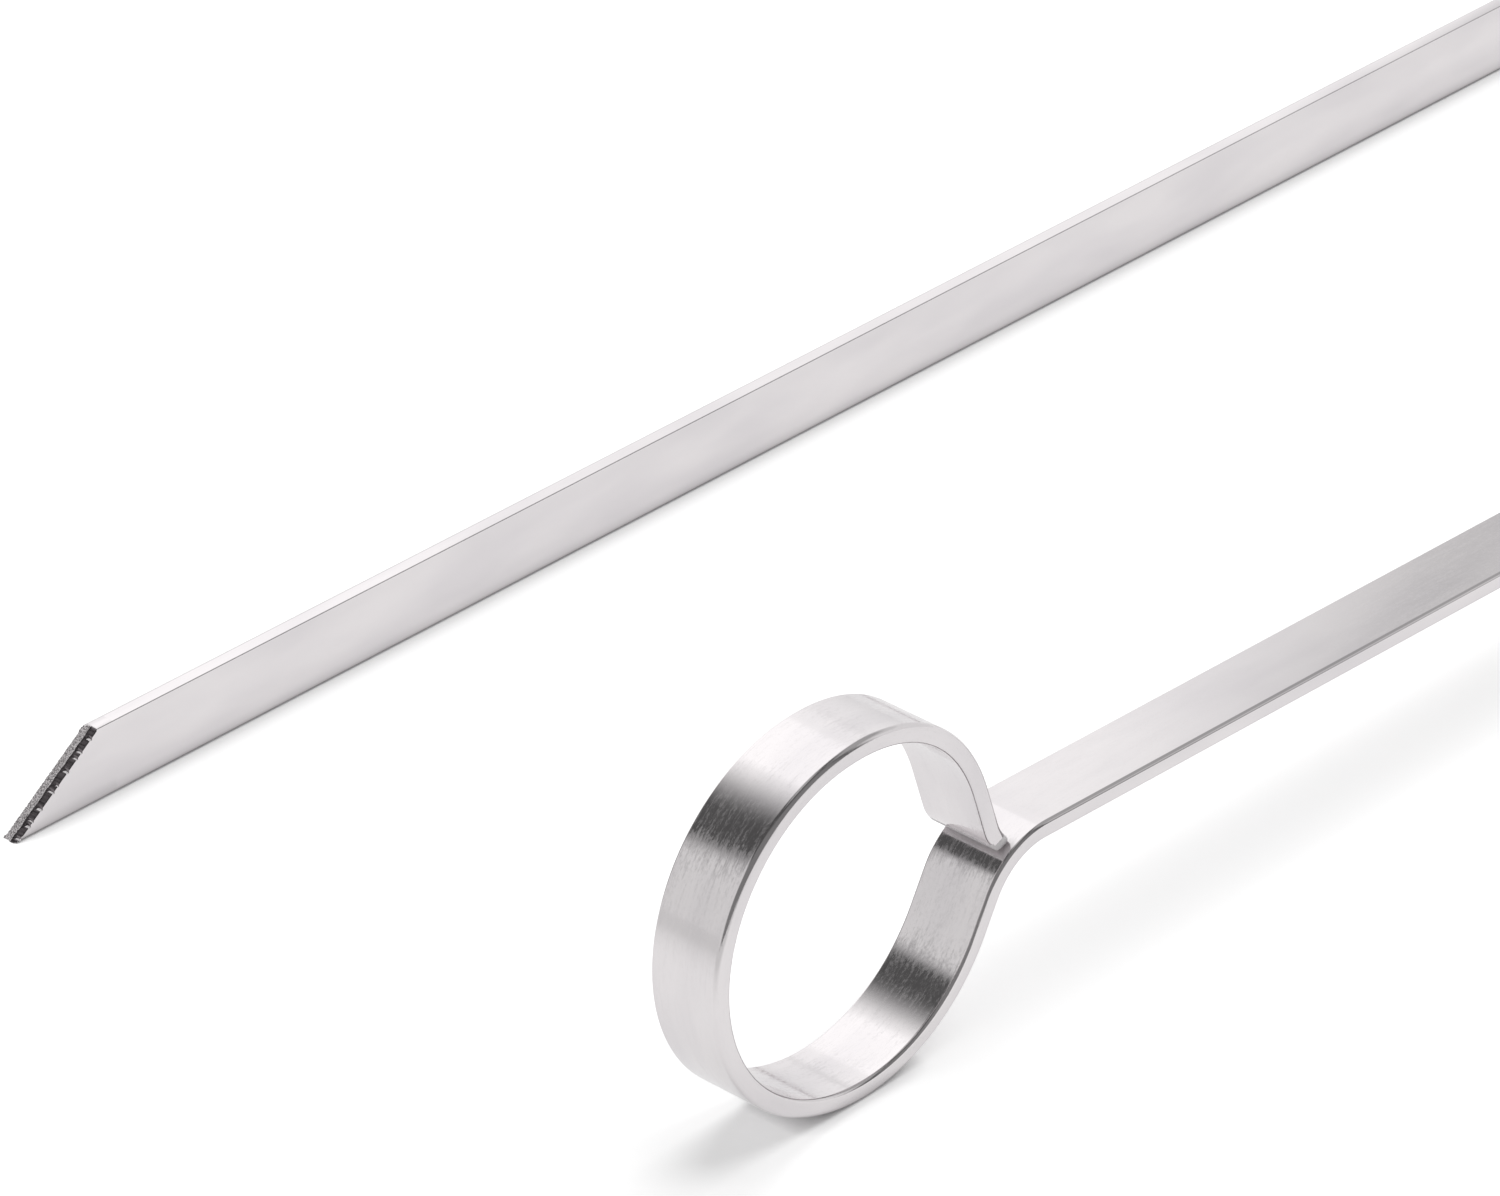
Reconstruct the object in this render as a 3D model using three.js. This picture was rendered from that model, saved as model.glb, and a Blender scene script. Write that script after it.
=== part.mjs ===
// A pair of flat kebab skewers. Each is one length of stainless steel strip, sheared on a slant
// at its point and bent round to a finger eye at the other end.
// Millimetres, +Z up. One skewer lies on its narrow edge, the other stands on its eye.
import * as THREE from 'three';

// Strip stock
const stripWidth = 6.35;
const stripThickness = 1.5;
const stripCornerRadius = 0.45;

// Eye, neck and shaft, in the plane that the strip is bent in
const eyeOuterDiameter = 30;
const eyeToPoint = 385;         // from the eye's centre to the point
const shaftDrop = 0.65;         // the shaft's middle line passes this far under the eye's centre
const neckRadius = 6.3;         // middle line of the bend where the shaft turns into the eye
const neckTurn = 62;            // degrees
const tailStart = 19;           // degrees above the shaft, where the eye's circle runs on straight
const tailClearance = 0.15;     // from the strip's free end to the shaft it closes on
const tailSidestep = 0.8;       // how far the free end lies off to the side
const sidestepStart = 100;      // degrees round the eye, where it starts to lean to the side

// Point
const slantLength = 8.76;       // along the strip, from the point to the blunt corner

// How the pair lies: the standing eye's centre from the lying point
const pairAlong = 18.9;
const pairAcross = 67.5;
const pairAngle = 0.91;         // degrees between the two shafts

// Fineness of the curved stretches
const cornerSteps = 1;
const eyeSteps = 60;
const neckSteps = 8;

const eyeRadius = (eyeOuterDiameter - stripThickness) / 2;
const neckFoot = neckTurn - 90;      // degrees round the eye, where its circle leaves for the neck
const steel = { color: 0xc9c6c8, roughness: 0.28, metalness: 1 };

// Rounded rectangle: x across the strip's thickness, y across its width
function stripSection() {
  const halfT = stripThickness / 2 - stripCornerRadius;
  const halfW = stripWidth / 2 - stripCornerRadius;
  const quarter = Math.PI / 2;
  const corners = [[halfT, halfW], [-halfT, halfW], [-halfT, -halfW], [halfT, -halfW]];
  const outline = new THREE.Shape();
  corners.forEach(([x, y], i) => {
    outline.absarc(x, y, stripCornerRadius, i * quarter, (i + 1) * quarter, false);
  });
  return outline.getPoints(cornerSteps);
}

// Places along an arc of the strip's middle line, with the heading of the strip at each
function bend(centre, radius, fromDegrees, toDegrees, steps) {
  const side = Math.sign(toDegrees - fromDegrees) * Math.PI / 2;
  return Array.from({ length: steps + 1 }, (_, i) => {
    const degrees = THREE.MathUtils.lerp(fromDegrees, toDegrees, i / steps);
    const angle = THREE.MathUtils.degToRad(degrees);
    const at = new THREE.Vector2(Math.cos(angle), Math.sin(angle)).multiplyScalar(radius).add(centre);
    return { at, heading: angle + side, degrees };
  });
}

// The neck's arc touches both the shaft's line and the line that leaves the eye's circle
function neckCentre() {
  const foot = THREE.MathUtils.degToRad(neckFoot);
  const y = -shaftDrop - neckRadius;
  const x = (eyeRadius + neckRadius - y * Math.sin(foot)) / Math.cos(foot);
  return new THREE.Vector2(x, y);
}

// The free end stops where its outer corner is one clearance off the neck's outer face
function tailEnd(start, neck) {
  const along = new THREE.Vector2(-Math.cos(start.heading), -Math.sin(start.heading));
  const outwards = new THREE.Vector2(-along.y, along.x).multiplyScalar(stripThickness / 2);
  const corner = start.at.clone().add(outwards).sub(neck);
  const reach = neckRadius + stripThickness / 2 + tailClearance;
  const b = corner.dot(along);
  const length = -b - Math.sqrt(b * b - corner.lengthSq() + reach * reach);
  return { at: start.at.clone().addScaledVector(along, length), heading: start.heading };
}

// The sidestep grows smoothly round the last part of the eye, up to the free end
function sidestepAt(degrees) {
  return tailSidestep * THREE.MathUtils.smoothstep(-degrees, -sidestepStart, -tailStart);
}

// The whole strip from its free end, round the eye, through the neck and along the shaft
function stripRoute() {
  const centre = new THREE.Vector2(0, 0);
  const neck = neckCentre();
  const eye = bend(centre, eyeRadius, tailStart, 360 + neckFoot, eyeSteps);
  eye.forEach((place) => { place.sidestep = sidestepAt(place.degrees); });
  const tail = tailEnd(eye[0], neck);
  tail.sidestep = tailSidestep;
  const neckArc = bend(neck, neckRadius, 90 + neckTurn, 90, neckSteps);
  const shaftEnd = { at: new THREE.Vector2(eyeToPoint - slantLength - stripWidth, -shaftDrop), heading: 0 };
  const point = { at: new THREE.Vector2(eyeToPoint, -shaftDrop), heading: 0, slant: slantLength };
  return [tail, ...eye, ...neckArc, shaftEnd, point];
}

// One skewer: the eye's centre at the origin, the shaft along +X, the strip's width along Y
function skewerGeometry() {
  const section = stripSection();
  const route = stripRoute();
  const positions = [];
  for (const { at, heading, sidestep = 0, slant = 0 } of route) {
    for (const p of section) {
      const back = slant * (p.y / stripWidth + 1 / 2);
      positions.push(at.x - Math.sin(heading) * p.x - back, p.y + sidestep, at.y + Math.cos(heading) * p.x);
    }
  }
  const n = section.length;
  const index = [];
  for (let ring = 0; ring < route.length - 1; ring += 1) {
    for (let i = 0; i < n; i += 1) {
      const a = ring * n + i;
      const b = ring * n + (i + 1) % n;
      index.push(a, b + n, b, a, a + n, b + n);
    }
  }
  const cap = THREE.ShapeUtils.triangulateShape(section, []);
  const last = (route.length - 1) * n;
  cap.forEach(([a, b, c]) => {
    index.push(a, b, c);
    index.push(last + a, last + c, last + b);
  });
  const geometry = new THREE.BufferGeometry();
  geometry.setAttribute('position', new THREE.Float32BufferAttribute(positions, 3));
  geometry.setIndex(index);
  geometry.computeVertexNormals();
  return geometry;
}

function skewer(name) {
  const mesh = new THREE.Mesh(skewerGeometry(), new THREE.MeshStandardMaterial(steel));
  mesh.name = name;
  return mesh;
}

// Flat on its narrow edge, the point towards -X and the sidestep up, clear of the floor
function lyingSkewer() {
  const mesh = skewer('lying_skewer');
  mesh.rotation.x = Math.PI / 2;
  const turned = new THREE.Group();
  turned.rotation.z = Math.PI;
  turned.position.set(eyeToPoint, shaftDrop + stripThickness / 2, stripWidth / 2);
  turned.add(mesh);
  return turned;
}

// On its eye, leaning forward until the point's underside meets the floor
function standingSkewer() {
  const mesh = skewer('standing_skewer');
  const underside = shaftDrop + stripThickness / 2;
  const reach = Math.hypot(eyeToPoint, underside);
  mesh.rotation.y = Math.asin(eyeOuterDiameter / 2 / reach) - Math.atan2(underside, eyeToPoint);
  const turned = new THREE.Group();
  turned.rotation.z = THREE.MathUtils.degToRad(pairAngle);
  turned.position.set(pairAlong, -pairAcross, eyeOuterDiameter / 2);
  turned.add(mesh);
  return turned;
}

const group = new THREE.Group();
group.add(lyingSkewer(), standingSkewer());

// The origin is on the floor, under the middle of the pair
const extent = new THREE.Box3().setFromObject(group, true);
const middle = extent.getCenter(new THREE.Vector3());
group.position.set(-middle.x, -middle.y, 0);

export default group;
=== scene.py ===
import math
import bpy
from mathutils import Matrix, Vector, noise


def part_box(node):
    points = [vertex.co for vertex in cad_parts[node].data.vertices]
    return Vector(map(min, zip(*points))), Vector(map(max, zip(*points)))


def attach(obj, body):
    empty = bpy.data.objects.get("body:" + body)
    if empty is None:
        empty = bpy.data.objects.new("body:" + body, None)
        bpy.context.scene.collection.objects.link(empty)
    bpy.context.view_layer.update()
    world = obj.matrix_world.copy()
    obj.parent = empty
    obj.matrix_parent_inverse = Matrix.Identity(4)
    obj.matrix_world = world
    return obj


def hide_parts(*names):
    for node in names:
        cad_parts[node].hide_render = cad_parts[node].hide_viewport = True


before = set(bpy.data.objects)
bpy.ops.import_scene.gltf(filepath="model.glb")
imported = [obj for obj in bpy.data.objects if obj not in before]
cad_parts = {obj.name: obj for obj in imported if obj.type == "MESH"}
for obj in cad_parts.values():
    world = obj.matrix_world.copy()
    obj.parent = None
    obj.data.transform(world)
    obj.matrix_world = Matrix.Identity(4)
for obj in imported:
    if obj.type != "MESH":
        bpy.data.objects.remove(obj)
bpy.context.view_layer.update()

mm = 0.001
tiny = 1e-6                              # slack in comparing places, metres or radians
cutSlack = 1e-7                          # metres, within which a cut takes an old point

scene = bpy.context.scene
scene.view_settings.view_transform = "Standard"
print("frame loaded:", ", ".join(sorted(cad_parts)))


# Colours are written as sRGB hex and turned linear here
def linear(hexColour):
    parts = [int(hexColour[i:i + 2], 16) / 255 for i in (0, 2, 4)]
    return [p / 12.92 if p <= 0.04045 else ((p + 0.055) / 1.055) ** 2.4 for p in parts] + [1]


# Adds a node with its settings, its links in and its fixed values
def addNode(tree, kind, links=None, values=None, **settings):
    node = tree.nodes.new(kind)
    for name, setting in settings.items():
        setattr(node, name, setting)
    for name, value in (values or {}).items():
        node.inputs[name].default_value = value
    for name, source in (links or {}).items():
        tree.links.new(source, node.inputs[name])
    return node


def newMaterial(name):
    material = bpy.data.materials.new(name)
    material.use_nodes = True
    material.node_tree.nodes.clear()
    return material, material.node_tree


# The strip, as bought. It is slit from sheet, which rolls some of its corners round and leaves
# others nearly sharp.
strip = {
    "width": 6.35 * mm,
    "thickness": 1.5 * mm,
    "cornerSegments": 5,
    "sharpAngle": 28,                    # degrees, past which an edge shows as an edge
    "normalWeight": 70,                  # of large faces, in shading the edges between them
    # radius of each corner, found by its side: the eye's inside is +1 and its outside -1, and
    # the edge that runs to the point is +1 and the other -1
    "corners": {
        "lyingStrip": {(-1, -1): 0.07 * mm, (1, -1): 0.45 * mm,
                       (-1, 1): 0.45 * mm, (1, 1): 0.13 * mm},
        "standingStrip": {(-1, -1): 0.13 * mm, (1, -1): 0.13 * mm,
                          (-1, 1): 0.45 * mm, (1, 1): 0.32 * mm},
    },
}

# How its middle line is bent, and how its free end is tumbled round and set aside
bends = {
    "outerDiameter": 30 * mm,
    "toPoint": 385 * mm,                 # from the eye's centre
    "shaftDrop": 0.65 * mm,              # of the shaft's middle line under the eye's centre
    "neckRadius": 6.3 * mm,
    "neckTurn": 62,                      # degrees
    "tailStart": 19,                     # degrees above the shaft
    "eyeArcs": 8,                        # between the stops of the middle line round the eye
    "tailGap": 0.02 * mm,                # from the free end to the shaft
    "tailRounding": 0.72 * mm,           # of the free end's outer edge
    "tailInnerRounding": 0.35 * mm,
    "tailSideRounding": 0.45 * mm,
    "tailRoundingLength": 1.4 * mm,
    "tailCuts": 12,                      # parts that its thickness is ruled into
    "tailSideCuts": 5,                   # parts that the rounding at each side is ruled into
    "tumbledLength": 1.1 * mm,           # of the free end, its finish rubbed matt and its colour a painted highlight
    "tailFlare": 0.75 * mm,              # off the shaft
    "tailFlareLength": 2.3 * mm,
    "tailSidestep": 0.8 * mm,            # across the shaft
    "sidestepStart": 100,                # degrees round the eye
    "roughFade": 4 * mm,                 # how soon the bend's rough surface ends
    "stationStep": 0.4 * mm,
    "finePast": 1 * mm,                  # how far the fine stations run on past the neck
    "shaftStations": 60,
    "routeFineness": 48,                 # steps between two stops of the middle line
}

# The slanted sheared end
shear = {
    "slantLength": 8.76 * mm,
    "stationStep": 0.06 * mm,
    "fineBefore": 0.25,                  # of the strip's width, ruled finely before the cut
    "throughStep": 0.07 * mm,
    "cutFacing": 0.999,                  # cosine to the cut, past which a face is part of it
    "burnishShare": 0.45,                # of the thickness, from the side that the blade met first
    "edgeWander": 0.07 * mm,             # of the line between burnish and tear
    "edgeWaves": ((0.9 * mm, 1.0, 3.7), (0.25 * mm, 0.6, 8.1)),    # length, share and seed
    "setBack": 0.03 * mm,
    "ridge": 0.03 * mm,                  # raised line between burnish and tear
    "ridgeWidth": 0.05 * mm,
    "tornDepth": 0.05 * mm,
    "tornSlope": 0.12 * mm,              # width of the step down to the tear
    "tornGrain": 0.17 * mm,
    "tornRelief": 0.07 * mm,
    "tornShape": (0.7, 2.1, 3),          # fall-off, step and number of the grain's sizes
    "lineSpacing": 0.22 * mm,
    "lineRelief": 0.012 * mm,
    "lineSeed": 0.4,
    "rollover": 0.07 * mm,
    "ledgeSpacing": 1.05 * mm,
    "ledgeStart": (0.3, 0.8),            # of the spacing: where one starts, and how unevenly
    "ledgeLength": 0.29 * mm,
    "ledgeReach": 0.38 * mm,             # into the thickness
    "ledgeNoise": (1.7, 5.5),            # step from ledge to ledge, and row, to read noise at
    "ledgeSeeds": (0.5, 3.5, 6.5),       # for start, length and reach
    "paleWidth": 0.11 * mm,              # of the painted highlight line where the tear starts
}

# Where the two skewers lie, and what the camera is placed from
pair = {
    "along": 18.9 * mm,                  # from the lying point to the standing eye's centre
    "across": 67.5 * mm,
    "angle": 0.91,                       # degrees between the shafts
    "rolledShift": 0.7,                  # metres, so that the second strip shows other marks
}
lyingLow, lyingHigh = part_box("lying_skewer")
halfWidth = strip["width"] / 2
halfThickness = strip["thickness"] / 2
eyeRadius = bends["outerDiameter"] / 2 - halfThickness
lyingEye = Vector((lyingLow.x + bends["toPoint"], (lyingLow.y + lyingHigh.y) / 2, halfWidth))
lyingPoint = Vector((lyingLow.x, lyingEye.y - bends["shaftDrop"] - halfThickness, 0))
standingEye = lyingPoint + Vector((pair["along"], -pair["across"], bends["outerDiameter"] / 2))


# Camera: a long lens, as in product pictures
cameraSettings = {
    "lens": 216,
    "sensor": 36,
    "fromPoint": Vector((-365.3, -446.94, 361.26)) * mm,
    "azimuth": 44.804,                   # degrees from +Y towards +X
    "elevation": 30.69,                  # degrees down
    "roll": -1.259,
    "clip": (0.01, 50),                  # metres
}


def photoCamera():
    c = cameraSettings
    turn = Matrix.Rotation(-math.radians(c["azimuth"]), 3, "Z")
    tilt = Matrix.Rotation(math.radians(90 - c["elevation"]), 3, "X")
    roll = Matrix.Rotation(math.radians(c["roll"]), 3, "Z")
    bpy.ops.object.camera_add(location=lyingPoint + c["fromPoint"],
                              rotation=(turn @ tilt @ roll).to_euler())
    camera = bpy.context.object
    camera.name = "photoCamera"
    camera.data.lens = c["lens"]
    camera.data.sensor_width = c["sensor"]
    camera.data.clip_start, camera.data.clip_end = c["clip"]
    scene.camera = camera


# The strip before it is bent, divided by a pattern's size along, through and across it
def rolledPlace(tree, sizes):
    where = addNode(tree, "ShaderNodeAttribute", attribute_name="rolled")
    return addNode(tree, "ShaderNodeMapping", {"Vector": where.outputs["Vector"]},
                   {"Scale": [1 / size for size in sizes]}).outputs["Vector"]


# Cold-rolled stainless strip with the mill's bright finish. The flat is nearly a mirror. Bending
# stretches its fine rolling lines open, and they comb the edges of dark reflections into streaks.
rolledFinish = {
    "tones": ("E0DCDE", "E9E5E6"),       # of its patches
    "toneSteps": (0.35, 0.65),
    "lineSize": (2.4 * mm, 0.17 * mm, 0.17 * mm),       # twice as wide as the real lines, to show
    "patchSize": (14 * mm, 4 * mm, 4 * mm),
    "speckSize": (0.30 * mm, 0.14 * mm, 0.14 * mm),
    "detail": 2,
    "lineMix": 0.6,                      # of finer lines in the coarser ones
    "markRange": (0.80, 1.25),           # of lines and specks, from smoothest to roughest
    "smoothest": 0.05,
    "flatRoughest": 0.11,
    "bentRoughest": 0.25,
    "lineDepth": 0.0007 * mm,            # where it is bent
}


def rolledStainless():
    f = rolledFinish
    material, tree = newMaterial("rolledStainless")
    lines = addNode(tree, "ShaderNodeTexNoise", {"Vector": rolledPlace(tree, f["lineSize"])},
                    {"Scale": 1, "Detail": f["detail"], "Roughness": f["lineMix"]})
    patches = addNode(tree, "ShaderNodeTexNoise", {"Vector": rolledPlace(tree, f["patchSize"])},
                      {"Scale": 1, "Detail": f["detail"]})
    specks = addNode(tree, "ShaderNodeTexNoise", {"Vector": rolledPlace(tree, f["speckSize"])},
                     {"Scale": 1, "Detail": f["detail"]})
    marks = addNode(tree, "ShaderNodeMath",
                    {0: lines.outputs["Fac"], 1: specks.outputs["Fac"]}, operation="ADD")
    bent = addNode(tree, "ShaderNodeAttribute", attribute_name="bent")
    roughest = addNode(tree, "ShaderNodeMapRange", {"Value": bent.outputs["Fac"]},
                       {"To Min": f["flatRoughest"], "To Max": f["bentRoughest"]})
    rough = addNode(tree, "ShaderNodeMapRange",
                    {"Value": marks.outputs["Value"], "To Max": roughest.outputs["Result"]},
                    {"From Min": f["markRange"][0], "From Max": f["markRange"][1],
                     "To Min": f["smoothest"]})
    tint = addNode(tree, "ShaderNodeValToRGB", {"Fac": patches.outputs["Fac"]})
    for element, step, tone in zip(tint.color_ramp.elements, f["toneSteps"], f["tones"]):
        element.position = step
        element.color = linear(tone)
    bump = addNode(tree, "ShaderNodeBump",
                   {"Height": marks.outputs["Value"], "Strength": bent.outputs["Fac"]},
                   {"Distance": f["lineDepth"]})
    shader = addNode(tree, "ShaderNodeBsdfPrincipled",
                     {"Base Color": tint.outputs["Color"], "Roughness": rough.outputs["Result"],
                      "Normal": bump.outputs["Normal"]}, {"Metallic": 1})
    addNode(tree, "ShaderNodeOutputMaterial", {"Surface": shader.outputs["BSDF"]})
    return material


# Sheared stainless. The blade burnishes nearly half of the thickness smooth, with lines straight
# through it, and that half's tint is painted dark, a painted reflection of the dark studio that it
# mirrors. The rest tears off as a pale grain. Tumbling rubs the free end matt, and a painted
# highlight makes it, the ledges and the tear's first line pale.
shearFinish = {
    # painted dark reflection: the burnish's tint stands in for the dark studio that it mirrors
    "burnishDarkReflectionTint": "7C7679",
    "burnishSmoothest": 0.16,
    "burnishRoughest": 0.42,
    "lineSize": (0.16 * mm, 1.1 * mm, 0.16 * mm),
    "lineDetail": 2,
    "lineRange": (0.3, 0.7),             # from smoothest to roughest
    "lineDepth": 0.012 * mm,
    "paintedHighlightTint": "EAE7E8",             # painted highlight on the tear's first line, the ledges and the free end
    "tornTones": ("7A7577", "F0ECED"),
    "toneSteps": (0.41, 0.58),
    "tornRoughness": 0.8,
    "tornMetallic": 0.25,                # the loose grain scatters light as a matt surface does
    "grainSize": (0.09 * mm, 0.09 * mm, 0.09 * mm),     # twice the real grain, to show at all
    "grainDetail": 3,
    "grainMix": 0.6,                     # of finer grains in the coarser ones
    "grainDepth": 0.02 * mm,
}


def burnishedShear():
    f = shearFinish
    material, tree = newMaterial("burnishedShear")
    lines = addNode(tree, "ShaderNodeTexNoise", {"Vector": rolledPlace(tree, f["lineSize"])},
                    {"Scale": 1, "Detail": f["lineDetail"]})
    rough = addNode(tree, "ShaderNodeMapRange", {"Value": lines.outputs["Fac"]},
                    {"From Min": f["lineRange"][0], "From Max": f["lineRange"][1],
                     "To Min": f["burnishSmoothest"], "To Max": f["burnishRoughest"]})
    bump = addNode(tree, "ShaderNodeBump", {"Height": lines.outputs["Fac"]},
                   {"Distance": f["lineDepth"]})
    shader = addNode(tree, "ShaderNodeBsdfPrincipled",
                     {"Roughness": rough.outputs["Result"], "Normal": bump.outputs["Normal"]},
                     {"Base Color": linear(f["burnishDarkReflectionTint"]), "Metallic": 1})
    addNode(tree, "ShaderNodeOutputMaterial", {"Surface": shader.outputs["BSDF"]})
    return material


def tornShear():
    f = shearFinish
    material, tree = newMaterial("tornShear")
    grains = addNode(tree, "ShaderNodeTexNoise", {"Vector": rolledPlace(tree, f["grainSize"])},
                     {"Scale": 1, "Detail": f["grainDetail"], "Roughness": f["grainMix"]})
    tint = addNode(tree, "ShaderNodeValToRGB", {"Fac": grains.outputs["Fac"]})
    for element, step, tone in zip(tint.color_ramp.elements, f["toneSteps"], f["tornTones"]):
        element.position = step
        element.color = linear(tone)
    # pale says how far a painted highlight turns the grain's colour to the highlight tint
    pale = addNode(tree, "ShaderNodeAttribute", attribute_name="pale")
    # inputs 6 and 7 are the two colours of the mix, and output 2 is its result
    colour = addNode(tree, "ShaderNodeMix",
                     {"Factor": pale.outputs["Fac"], 6: tint.outputs["Color"]},
                     {7: linear(f["paintedHighlightTint"])}, data_type="RGBA")
    bump = addNode(tree, "ShaderNodeBump", {"Height": grains.outputs["Fac"]},
                   {"Distance": f["grainDepth"]})
    shader = addNode(tree, "ShaderNodeBsdfPrincipled",
                     {"Base Color": colour.outputs[2], "Normal": bump.outputs["Normal"]},
                     {"Metallic": f["tornMetallic"], "Roughness": f["tornRoughness"]})
    addNode(tree, "ShaderNodeOutputMaterial", {"Surface": shader.outputs["BSDF"]})
    return material


# A strip's material slots, after the rolled finish at 0
finishSlots = {"burnished": 1, "torn": 2}


# Goes into edit mode with the chosen points or faces selected
def choose(piece, kind, test):
    bpy.ops.object.mode_set(mode="EDIT")
    bpy.ops.mesh.select_mode(type=kind)
    bpy.ops.mesh.select_all(action="DESELECT")
    bpy.ops.object.mode_set(mode="OBJECT")
    for item in piece.data.vertices if kind == "VERT" else piece.data.polygons:
        item.select = test(item)
    bpy.ops.object.mode_set(mode="EDIT")


# Eases from 0 to 1
def smooth(value):
    t = min(max(value, 0), 1)
    return t * t * (3 - 2 * t)


# Stops of the middle line with the heading at each. Between two stops it runs straight where the
# heading stays, and on an arc where it turns.
def bendStops():
    b = bends
    foot = math.radians(b["neckTurn"] - 90)
    start = math.radians(b["tailStart"])
    neckY = -b["shaftDrop"] - b["neckRadius"]
    neckX = (eyeRadius + b["neckRadius"] - neckY * math.sin(foot)) / math.cos(foot)
    neck = Vector((neckX, neckY))
    outward = Vector((math.cos(start), math.sin(start)))
    down = Vector((math.sin(start), -math.cos(start)))
    flare = b["tailFlare"] * (1 - b["tailRounding"] / b["tailFlareLength"]) ** 2
    corner = outward * (eyeRadius + halfThickness + flare - b["tailRounding"]) - neck
    reach = b["neckRadius"] + halfThickness + b["tailGap"] + b["tailRounding"]
    along = corner.dot(down)
    tail = (-along - math.sqrt(along * along - corner.length_squared + reach * reach)
            + b["tailRounding"])

    stops = [(outward * eyeRadius + down * tail, start + math.pi / 2)]
    for i in range(b["eyeArcs"] + 1):
        angle = start + (2 * math.pi + foot - start) * i / b["eyeArcs"]
        stops.append((Vector((math.cos(angle), math.sin(angle))) * eyeRadius,
                      angle + math.pi / 2))
    for turn in (b["neckTurn"], b["neckTurn"] / 2, 0):
        angle = math.pi / 2 + math.radians(turn)
        stops.append((neck + Vector((math.cos(angle), math.sin(angle))) * b["neckRadius"],
                      2 * math.pi + math.radians(turn)))
    stops.append((Vector((b["toPoint"], -b["shaftDrop"])), 2 * math.pi))
    return stops, tail


# Length of the stretch between two stops, and of the Bezier handles at its ends
def stretch(stop, following):
    chord = (following[0] - stop[0]).length
    turn = abs(following[1] - stop[1])
    if turn < tiny:
        return chord, chord / 3
    radius = chord / (2 * math.sin(turn / 2))
    return radius * turn, radius * 4 / 3 * math.tan(turn / 4)


# The flat strip along +X, its free end at the origin: rounded section, fine stations where it is
# bent and cut, and coarse ones along the shaft
def flatStrip(total, bentLength, corners):
    bpy.ops.object.select_all(action="DESELECT")
    bpy.ops.mesh.primitive_plane_add(size=1, rotation=(0, math.pi / 2, 0))
    piece = bpy.context.object
    piece.scale = (strip["width"], strip["thickness"], 1)
    bpy.ops.object.transform_apply(location=True, rotation=True, scale=True)
    for (y, z), radius in corners.items():
        square = halfThickness + halfWidth - tiny
        choose(piece, "VERT", lambda corner: corner.co.y * y + corner.co.z * z > square)
        bpy.ops.mesh.bevel(offset=radius, segments=strip["cornerSegments"], affect="VERTICES")
    bpy.ops.mesh.select_all(action="SELECT")
    slantRoom = shear["slantLength"] + strip["width"] * shear["fineBefore"]
    runs = [(bentLength, math.ceil(bentLength / bends["stationStep"])),
            (total - bentLength - slantRoom, bends["shaftStations"]),
            (slantRoom, math.ceil(slantRoom / shear["stationStep"]))]
    for length, stations in runs:
        bpy.ops.mesh.extrude_repeat(steps=stations, offset=(length / stations, 0, 0))
    bpy.ops.mesh.select_all(action="SELECT")
    bpy.ops.mesh.normals_make_consistent(inside=False)
    bpy.ops.object.mode_set(mode="OBJECT")
    return piece


# Rules the free end into a grid and tumbles it round
def roundTail(piece):
    b = bends
    rulings = [((0, (i / b["tailCuts"] - 0.5) * strip["thickness"], 0), (0, 1, 0))
               for i in range(1, b["tailCuts"])]
    sideStep = b["tailSideRounding"] / b["tailSideCuts"]
    rulings += [((0, 0, side * (halfWidth - sideStep * i)), (0, 0, 1))
                for side in (-1, 1) for i in range(1, b["tailSideCuts"] + 1)]
    for place, normal in rulings:
        choose(piece, "FACE", lambda face: face.center.x < tiny)
        bpy.ops.mesh.bisect(plane_co=place, plane_no=normal, threshold=cutSlack)
        bpy.ops.object.mode_set(mode="OBJECT")
    for vertex in piece.data.vertices:
        room = max(0, 1 - vertex.co.x / b["tailRoundingLength"])
        for radius, inwards in ((b["tailRounding"], halfThickness + vertex.co.y),
                                (b["tailInnerRounding"], halfThickness - vertex.co.y),
                                (b["tailSideRounding"], halfWidth - abs(vertex.co.z))):
            short = min(max(0, radius - inwards), radius)
            vertex.co.x += room * (radius - math.sqrt(radius * radius - short * short))


# Cuts the end off on the slant and rules the cut into a fine grid
def cutSlant(piece, total, materials):
    cutNormal = Vector((strip["width"], 0, -shear["slantLength"])).normalized()
    point = Vector((total, 0, halfWidth))
    choose(piece, "FACE", lambda face: True)
    bpy.ops.mesh.bisect(plane_co=point, plane_no=cutNormal, use_fill=True, clear_outer=True,
                        threshold=cutSlack)
    bpy.ops.object.mode_set(mode="OBJECT")
    for material in materials:
        piece.data.materials.append(material)
    for face in piece.data.polygons:
        if face.normal.dot(cutNormal) > shear["cutFacing"]:
            face.material_index = finishSlots["burnished"]
        elif face.center.x < bends["tumbledLength"]:
            face.material_index = finishSlots["torn"]
    bpy.ops.object.mode_set(mode="EDIT")
    bpy.ops.mesh.select_mode(type="FACE")
    piece.active_material_index = finishSlots["burnished"]
    rows = round(shear["slantLength"] / shear["stationStep"])
    layers = round(strip["thickness"] / shear["throughStep"])
    rulings = [((total - (i + 0.5) * shear["slantLength"] / rows, 0, 0), (1, 0, 0))
               for i in range(rows)]
    rulings += [((0, (i / layers - 0.5) * strip["thickness"], 0), (0, 1, 0))
                for i in range(1, layers)]
    for place, normal in rulings:
        bpy.ops.mesh.select_all(action="DESELECT")
        bpy.ops.object.material_slot_select()
        bpy.ops.mesh.bisect(plane_co=place, plane_no=normal, threshold=cutSlack)
    bpy.ops.object.mode_set(mode="OBJECT")
    return point, cutNormal
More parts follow.
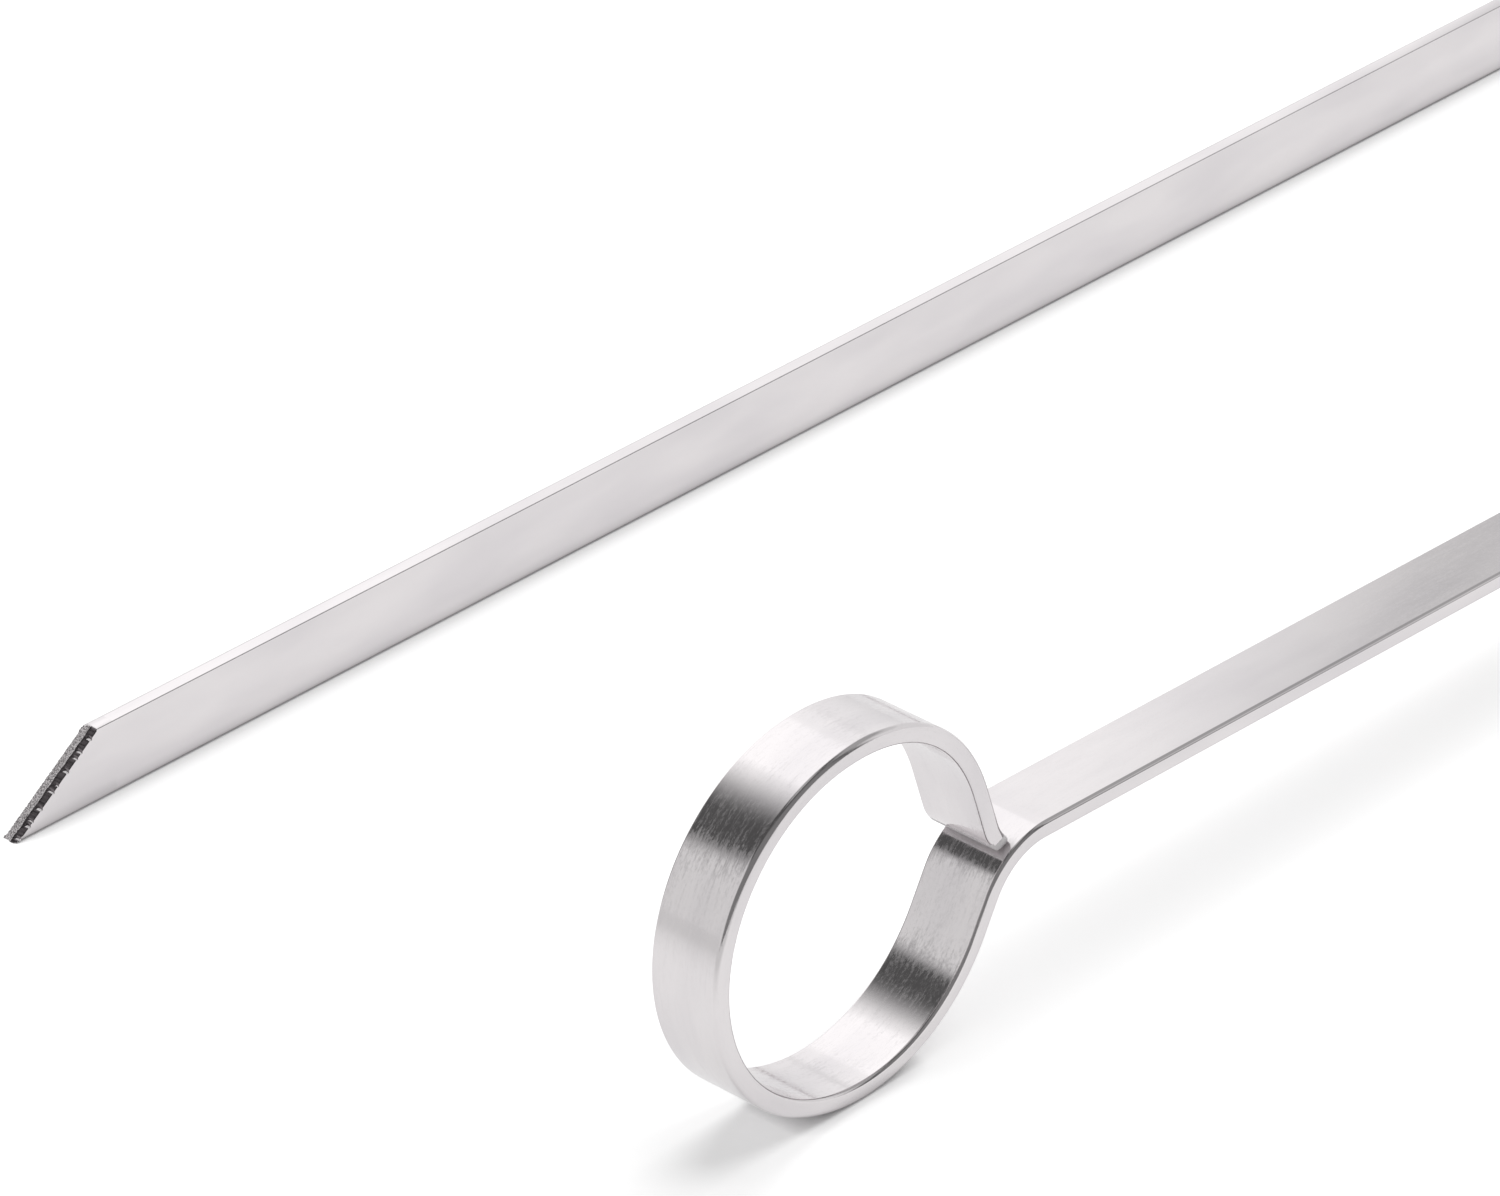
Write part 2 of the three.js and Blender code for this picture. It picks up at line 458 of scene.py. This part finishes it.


# A sheared face: the blade rolls the first edge over and burnishes what it slides along, leaves
# small level ledges at that edge, and then the strip tears off in a rough grain. Gives the depth
# under the plain cut, the slot of its finish, and how much painted highlight it gets. The most
# painted highlight goes on the ledges and the middle of the line where the tear starts.
def shearRelief(along, through, rim):
    s = shear
    edge = strip["thickness"] * (s["burnishShare"] - 0.5)
    for length, share, seed in s["edgeWaves"]:
        edge += s["edgeWander"] * share * noise.noise(Vector((along / length, seed, 0)))
    grainPlace = Vector((along, through, 0)) / s["tornGrain"]
    tornHere = smooth((through - edge) / s["tornSlope"])
    torn = s["tornDepth"] + s["tornRelief"] * noise.fractal(grainPlace, *s["tornShape"])
    lines = s["lineRelief"] * noise.noise(Vector((along / s["lineSpacing"], s["lineSeed"], 0)))
    depth = s["setBack"] + torn * tornHere + lines * (1 - tornHere)
    depth -= s["ridge"] * math.exp(-((through - edge) / s["ridgeWidth"]) ** 2)

    count = math.floor(along / s["ledgeSpacing"])
    step, row = s["ledgeNoise"]
    uneven = [noise.noise(Vector((count * step, row, seed))) for seed in s["ledgeSeeds"]]
    start, unevenStart = s["ledgeStart"]
    onLedge = along - (count + start + unevenStart * uneven[0]) * s["ledgeSpacing"]
    inwards = through + halfThickness
    isLedge = (0 < onLedge < s["ledgeLength"] * (1 + uneven[1])
               and inwards < s["ledgeReach"] * (1 + uneven[2]))
    if isLedge:
        slantSquared = strip["width"] ** 2 + s["slantLength"] ** 2
        depth += onLedge * strip["width"] * s["slantLength"] / slantSquared
    rolledOver = max(0, 1 - rim / s["rollover"])
    depth += s["rollover"] * (1 - math.sqrt(1 - min(rolledOver, 1) ** 2))
    # the last value is the painted highlight: full on a ledge, and peaking along the line where
    # the tear starts
    pastEdge = (through - edge) / s["paleWidth"]
    slot = finishSlots["torn" if isLedge or pastEdge > 0 else "burnished"]
    return max(depth, 0), slot, 1 if isLedge else max(0, 1 - abs(pastEdge - 0.5))


# Distance from a point of the cut to the strip's outline, in the strip's own section
def rimDistance(through, across, corners):
    flat = corners[math.copysign(1, through), math.copysign(1, across)]
    x = abs(through) - (halfThickness - flat)
    z = abs(across) - (halfWidth - flat)
    if x > 0 and z > 0:
        return flat - math.hypot(x, z)
    return flat - max(x, z)


# Points move straight across the strip, so that they stay on its rulings
def roughenCut(piece, point, cutNormal, corners):
    mesh = piece.data
    slide = Vector((-shear["slantLength"], 0, -strip["width"])).normalized()
    # pale is a painted highlight: full on the free end, and set on the cut by shearRelief
    pale = mesh.attributes.new("pale", "FLOAT", "POINT").data
    for vertex, tone in zip(mesh.vertices, pale):
        tone.value = 1 if vertex.co.x < bends["tailFlareLength"] else 0
    cutFaces = [face for face in mesh.polygons
                if face.material_index == finishSlots["burnished"]]
    finish = {}
    for index in {index for face in cutFaces for index in face.vertices}:
        vertex = mesh.vertices[index]
        along = (vertex.co - point).dot(slide)
        rim = rimDistance(vertex.co.y, vertex.co.z, corners)
        depth, finish[index], pale[index].value = shearRelief(along, vertex.co.y, rim)
        vertex.co.z = min(vertex.co.z - depth / cutNormal.z, halfWidth)
    for face in cutFaces:
        finishes = {finish[index] for index in face.vertices}
        if len(finishes) == 1:
            face.material_index = finishes.pop()
    mesh.update()


# The free end is set to one side of the shaft and flared off it
def pushAside(piece, tail):
    b = bends
    sidestepEnd = tail + eyeRadius * math.radians(b["sidestepStart"] - b["tailStart"])
    for vertex in piece.data.vertices:
        along = vertex.co.x
        vertex.co.z -= b["tailSidestep"] * smooth((sidestepEnd - along) / (sidestepEnd - tail))
        vertex.co.y -= b["tailFlare"] * max(0, 1 - along / b["tailFlareLength"]) ** 2


# The place of every point before bending, for what runs along the strip, and where it gets bent
def rememberRolled(piece, shift, bentLength):
    rolled = piece.data.attributes.new("rolled", "FLOAT_VECTOR", "POINT")
    away = Vector((shift, 0, 0))
    rolled.data.foreach_set("vector", [part for vertex in piece.data.vertices
                                       for part in vertex.co + away])
    bent = piece.data.attributes.new("bent", "FLOAT", "POINT")
    bent.data.foreach_set("value", [smooth((bentLength - vertex.co.x) / bends["roughFade"])
                                    for vertex in piece.data.vertices])


# Bends the flat strip along a curve through the stops
def bendStrip(piece, stops, stretches):
    bpy.ops.object.select_all(action="DESELECT")
    bpy.ops.curve.primitive_bezier_curve_add()
    route = bpy.context.object
    route.data.dimensions = "2D"
    route.data.resolution_u = bends["routeFineness"]
    route.data.use_deform_bounds = False
    spline = route.data.splines[0]
    spline.bezier_points.add(len(stops) - 2)
    handles = [stretches[0][1]] + [handle for length, handle in stretches] + [stretches[-1][1]]
    for i, (place, heading) in enumerate(stops):
        direction = Vector((math.cos(heading), math.sin(heading), 0))
        knot = spline.bezier_points[i]
        knot.handle_left_type = knot.handle_right_type = "FREE"
        knot.co = place.to_3d()
        knot.handle_left = knot.co - direction * handles[i]
        knot.handle_right = knot.co + direction * handles[i + 1]
    bpy.context.view_layer.objects.active = piece
    bend = piece.modifiers.new("bend", "CURVE")
    bend.object = route
    bend.deform_axis = "POS_X"
    bpy.ops.object.modifier_apply(modifier=bend.name)
    bpy.data.objects.remove(route)


def finishNormals(piece):
    bpy.ops.object.select_all(action="DESELECT")
    piece.select_set(True)
    bpy.context.view_layer.objects.active = piece
    bpy.ops.object.shade_smooth_by_angle(angle=math.radians(strip["sharpAngle"]))
    weighted = piece.modifiers.new("weighted", "WEIGHTED_NORMAL")
    weighted.keep_sharp = True
    weighted.weight = strip["normalWeight"]
    bpy.ops.object.modifier_apply(modifier=weighted.name)


def buildSkewer(name, materials):
    corners = strip["corners"][name]
    stops, tail = bendStops()
    stretches = [stretch(stop, following) for stop, following in zip(stops, stops[1:])]
    total = sum(length for length, handle in stretches)
    bentLength = sum(length for length, handle in stretches[:-1]) + bends["finePast"]
    piece = flatStrip(total, bentLength, corners)
    piece.name = piece.data.name = name
    print("strip extruded,", len(piece.data.vertices), "points")
    roundTail(piece)
    point, cutNormal = cutSlant(piece, total, materials)
    rememberRolled(piece, pair["rolledShift"] if name == "standingStrip" else 0, bentLength)
    roughenCut(piece, point, cutNormal, corners)
    pushAside(piece, tail)
    print("point sheared,", len(piece.data.vertices), "points")
    bendStrip(piece, stops, stretches)
    print("eye bent")
    return piece


# The skewer is bent in the XY plane, its width along Z, and then turned into place
def layDown(piece):
    turn = Matrix.Rotation(math.pi, 4, "Y")
    piece.data.transform(Matrix.Translation(lyingEye) @ turn)


def standUp(piece):
    underside = bends["shaftDrop"] + halfThickness
    reach = math.hypot(bends["toPoint"], underside)
    pitch = (math.asin(bends["outerDiameter"] / 2 / reach)
             - math.atan2(underside, bends["toPoint"]))
    upright = Matrix.Rotation(math.pi / 2, 4, "X")
    lean = Matrix.Rotation(pitch, 4, "Y")
    yaw = Matrix.Rotation(math.radians(pair["angle"]), 4, "Z")
    piece.data.transform(Matrix.Translation(standingEye) @ yaw @ lean @ upright)


def buildPair():
    materials = [rolledStainless(), burnishedShear(), tornShear()]
    lying = buildSkewer("lyingStrip", materials)
    standing = buildSkewer("standingStrip", materials)
    layDown(lying)
    standUp(standing)
    for piece, node in ((lying, "lying_skewer"), (standing, "standing_skewer")):
        finishNormals(piece)
        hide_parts(node)
        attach(piece, node)
        print(piece.name, "in place,", len(piece.data.polygons), "faces")


# White paper floor. It takes the lamp's shadow, and a little glow brings its lit part to plain
# white for the camera and in the steel. The glow fading close under the skewers is painted contact
# shade. What the steel shows of it falls off around the lit pool.
floorSettings = {
    "size": 8.0,
    "colour": "F2F2F2",
    "cameraGlow": 0.38,
    "steelGlow": 0.56,
    "steelShare": 0.45,                  # of the floor's own light, in the steel
    "contactShadeReach": 1.5 * mm,                 # painted contact shade: the glow fades under what is closer than this
    "poolMiddle": (1.0, 0.5, 0),
    "poolEdge": 1.335,                   # metres from its middle
    "dimFrom": 1.40,
    "dimTo": 0.74,                       # of the light at the pool
}


def whiteFloor():
    f = floorSettings
    bpy.ops.object.select_all(action="DESELECT")
    bpy.ops.mesh.primitive_plane_add(size=f["size"])
    floor = bpy.context.object
    floor.name = "paperFloor"
    material, tree = newMaterial("whitePaper")
    path = addNode(tree, "ShaderNodeLightPath")
    mirrored = addNode(tree, "ShaderNodeMath",
                       {0: path.outputs["Is Glossy Ray"], 1: path.outputs["Is Transmission Ray"]},
                       operation="MAXIMUM")
    where = addNode(tree, "ShaderNodeTexCoord").outputs["Object"]
    away = addNode(tree, "ShaderNodeVectorMath", {0: where}, {1: f["poolMiddle"]},
                   operation="DISTANCE")
    pool = addNode(tree, "ShaderNodeMapRange", {"Value": away.outputs["Value"]},
                   {"From Min": f["poolEdge"], "From Max": f["dimFrom"],
                    "To Min": 1, "To Max": f["dimTo"]})
    share = addNode(tree, "ShaderNodeMath", {0: pool.outputs["Result"]}, {1: f["steelShare"]},
                    operation="MULTIPLY")
    own = addNode(tree, "ShaderNodeMix",
                  {"Factor": mirrored.outputs["Value"], "B": share.outputs["Value"]},
                  {"A": 1.0}, data_type="FLOAT")
    paper = addNode(tree, "ShaderNodeVectorMath", {"Scale": own.outputs["Result"]},
                    {0: linear(f["colour"])[:3]}, operation="SCALE")
    steelGlow = addNode(tree, "ShaderNodeMath", {0: pool.outputs["Result"]}, {1: f["steelGlow"]},
                        operation="MULTIPLY")
    glow = addNode(tree, "ShaderNodeMix",
                   {"Factor": mirrored.outputs["Value"], "B": steelGlow.outputs["Value"]},
                   {"A": f["cameraGlow"]}, data_type="FLOAT")
    # ambient occlusion dims the glow, a painted contact shade in crevices under and beside the
    # skewers
    openness = addNode(tree, "ShaderNodeAmbientOcclusion", values={"Distance": f["contactShadeReach"]})
    seen = addNode(tree, "ShaderNodeMath",
                   {0: path.outputs["Is Camera Ray"], 1: mirrored.outputs["Value"]},
                   operation="MAXIMUM")
    shown = addNode(tree, "ShaderNodeMath",
                    {0: seen.outputs["Value"], 1: openness.outputs["AO"]}, operation="MULTIPLY")
    light = addNode(tree, "ShaderNodeMath",
                    {0: glow.outputs["Result"], 1: shown.outputs["Value"]}, operation="MULTIPLY")
    shader = addNode(tree, "ShaderNodeBsdfPrincipled",
                     {"Base Color": paper.outputs["Vector"],
                      "Emission Strength": light.outputs["Value"]},
                     {"Roughness": 1, "Specular IOR Level": 0, "Emission Color": (1, 1, 1, 1)})
    addNode(tree, "ShaderNodeOutputMaterial", {"Surface": shader.outputs["BSDF"]})
    floor.data.materials.append(material)


# The studio as the steel sees it, by direction: degrees round from +X towards +Y, and degrees up.
# Each card fades in between its first two angles and out between its last two. The camera sees
# plain white, and the floor is lit by an even part of it.
studio = {
    "floorLight": 0.30,
    "room": 0.09,
    "cards": [
        # tall soft box behind, right, and its brighter middle
        {"around": (35, 42, 82, 124), "up": (8, 24, 60, 84), "glow": 1.00},
        {"around": (42, 48.5, 80, 110), "up": (12, 31, 58, 76), "glow": 1.14},
        # white walls, under the soft box, right and left, and the grey one above the right one
        {"around": (20, 36, 92, 108), "up": (-60, 22, 23, 28), "glow": 0.92},
        {"around": (-53, -37, 30, 46), "up": (-22, -4, 22, 28), "glow": 0.72},
        {"around": (-53, -37, 36, 52), "up": (4, 18, 30, 42), "glow": 0.58},
        {"around": (-55, -35, 34, 54), "up": (20, 34, 56, 72), "glow": 0.32},
        {"around": (133.5, 139, 176, 196), "up": (-16, -4, 36, 48), "glow": 0.66},
        # dim room behind the camera
        {"around": (-175, -165, -60, -50), "up": (-10, 5, 50, 70), "glow": 0.13},
        # lamp overhead
        {"around": (-190, -180, 180, 190), "up": (72, 84, 100, 110), "glow": 0.40},
    ],
}


def studioWorld():
    world = bpy.data.worlds.new("studio")
    scene.world = world
    world.use_nodes = True
    tree = world.node_tree
    tree.nodes.clear()
    where = addNode(tree, "ShaderNodeTexCoord").outputs["Generated"]
    parts = addNode(tree, "ShaderNodeSeparateXYZ", {"Vector": where})
    around = addNode(tree, "ShaderNodeMath", {0: parts.outputs["Y"], 1: parts.outputs["X"]},
                     operation="ARCTAN2")
    up = addNode(tree, "ShaderNodeMath", {0: parts.outputs["Z"]}, operation="ARCSINE")
    degrees = {}
    for name, angle in (("around", around), ("up", up)):
        degrees[name] = addNode(tree, "ShaderNodeMath", {0: angle.outputs["Value"]},
                                operation="DEGREES")
    total = None
    for card in studio["cards"]:
        glow = None
        for name in ("around", "up"):
            angles = card[name]
            middle = (angles[1] + angles[2]) / 2
            offset = addNode(tree, "ShaderNodeMath", {0: degrees[name].outputs["Value"]},
                             {1: middle}, operation="SUBTRACT")
            if name == "around":
                offset = addNode(tree, "ShaderNodeMath", {0: offset.outputs["Value"]},
                                 {1: -180, 2: 180}, operation="WRAP")
            for start, full in ((angles[0], angles[1]), (angles[3], angles[2])):
                fade = addNode(tree, "ShaderNodeMapRange", {"Value": offset.outputs["Value"]},
                               {"From Min": start - middle, "From Max": full - middle,
                                "To Max": 1 if glow else card["glow"]},
                               interpolation_type="SMOOTHSTEP")
                if glow:
                    glow = addNode(tree, "ShaderNodeMath", {0: glow, 1: fade.outputs["Result"]},
                                   operation="MULTIPLY").outputs["Value"]
                else:
                    glow = fade.outputs["Result"]
        if total:
            total = addNode(tree, "ShaderNodeMath", {0: total, 1: glow},
                            operation="MAXIMUM").outputs["Value"]
        else:
            total = glow
    total = addNode(tree, "ShaderNodeMath", {0: total}, {1: studio["room"]},
                    operation="ADD").outputs["Value"]
    path = addNode(tree, "ShaderNodeLightPath")
    # light that the steel throws on the floor counts as the floor's own
    seen = addNode(tree, "ShaderNodeMath",
                   {0: path.outputs["Is Glossy Ray"], 1: path.outputs["Diffuse Depth"]},
                   operation="SUBTRACT", use_clamp=True)
    steel = addNode(tree, "ShaderNodeMix", {"Factor": seen.outputs["Value"], "B": total},
                    {"A": studio["floorLight"]}, data_type="FLOAT")
    plain = addNode(tree, "ShaderNodeMath",
                    {0: path.outputs["Is Camera Ray"], 1: path.outputs["Is Transmission Ray"]},
                    operation="MAXIMUM")
    strength = addNode(tree, "ShaderNodeMix",
                       {"Factor": plain.outputs["Value"], "A": steel.outputs["Result"]},
                       {"B": 1.0}, data_type="FLOAT")
    background = addNode(tree, "ShaderNodeBackground", {"Strength": strength.outputs["Result"]},
                         {"Color": (1, 1, 1, 1)})
    addNode(tree, "ShaderNodeOutputWorld", {"Surface": background.outputs["Background"]})


lampSettings = {
    "strength": 2.0,
    "angle": 60,                         # degrees across, as of a large soft box
    "from": (0.4, 0.06, 1.0),
}


def softLamp():
    bpy.ops.object.light_add(type="SUN", location=(0, 0, 1))
    lamp = bpy.context.object
    lamp.name = "softLamp"
    lamp.rotation_euler = Vector(lampSettings["from"]).to_track_quat("Z", "Y").to_euler()
    lamp.data.energy = lampSettings["strength"]
    lamp.data.angle = math.radians(lampSettings["angle"])
    lamp.visible_glossy = False


photoCamera()
whiteFloor()
studioWorld()
softLamp()
print("stage set")
buildPair()
